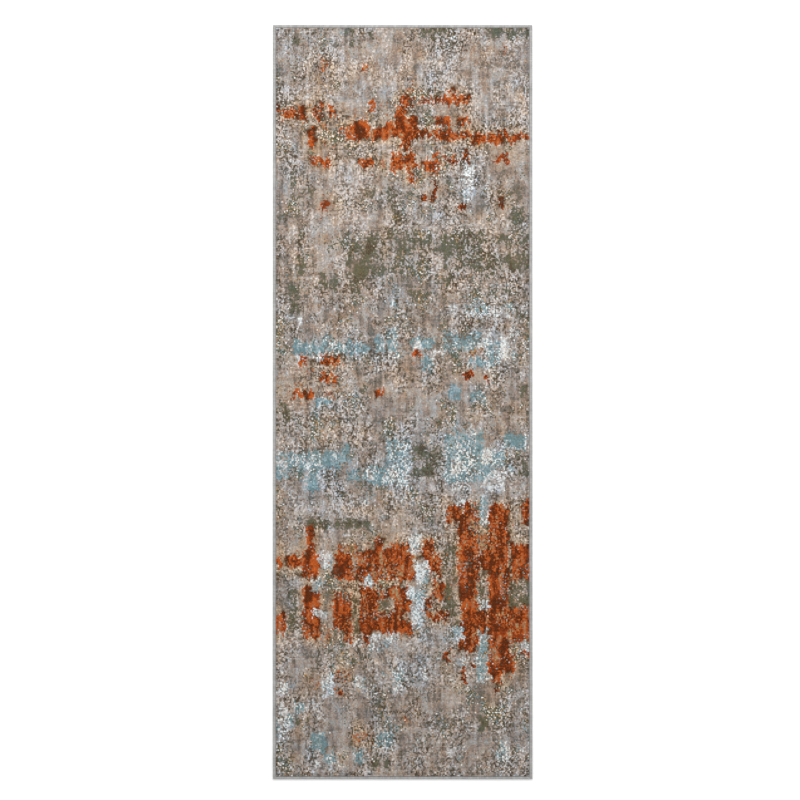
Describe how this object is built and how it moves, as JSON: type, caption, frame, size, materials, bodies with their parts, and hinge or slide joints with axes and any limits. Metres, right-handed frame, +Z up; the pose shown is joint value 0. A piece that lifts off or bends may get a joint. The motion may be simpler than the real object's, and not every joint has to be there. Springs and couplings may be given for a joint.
{
  "type": "runner rug",
  "caption": "Long narrow cut-pile floor runner with an inlaid abstract pattern in muted yarns and a serged edge all round.",
  "frame": {"origin": "centre of the flat underside, on the floor", "axes": "+X across the rug, +Y along it towards the head end, +Z up out of the pile"},
  "size_m": [0.787, 2.286, 0.01],
  "materials": {
    "greige_pile": "matte cut pile, heathered taupe and pinkish beige yarn",
    "silver_pile": "soft satin cut pile, light silver grey yarn",
    "sage_pile": "matte cut pile, olive sage yarn",
    "aqua_pile": "soft satin cut pile, dusty aqua yarn",
    "ice_pile": "bright cut pile, icy white shrunk yarn",
    "rust_pile": "matte cut pile, burnt orange yarn",
    "umber_pile": "matte cut pile, dark umber yarn",
    "ochre_pile": "matte cut pile, pale ochre yarn",
    "serging_yarn": "slightly glossy twisted grey synthetic yarn, wrapped side by side",
    "filler_cord": "plain twisted cotton cord",
    "jute_weft": "hairy spun jute",
    "cotton_warp": "smooth cotton blend warp",
    "latex_back": "thin matte latex coat that shows the ribs of the weave"
  },
  "bodies": {
    "root": {"back_coat": "latex_back", "lower_wefts": "jute_weft", "stuffer_warps": "cotton_warp", "buried_pile_yarns": "greige_pile", "upper_wefts": "jute_weft", "pile_greige": "greige_pile", "pile_silver": "silver_pile", "pile_sage": "sage_pile", "pile_aqua": "aqua_pile", "pile_ice": "ice_pile", "pile_rust": "rust_pile", "pile_umber": "umber_pile", "pile_ochre": "ochre_pile", "edge_cord_foot": "filler_cord", "edge_cord_right": "filler_cord", "edge_cord_head": "filler_cord", "edge_cord_left": "filler_cord", "serging_foot": "serging_yarn", "serging_right": "serging_yarn", "serging_head": "serging_yarn", "serging_left": "serging_yarn"}
  },
  "joints": []
}
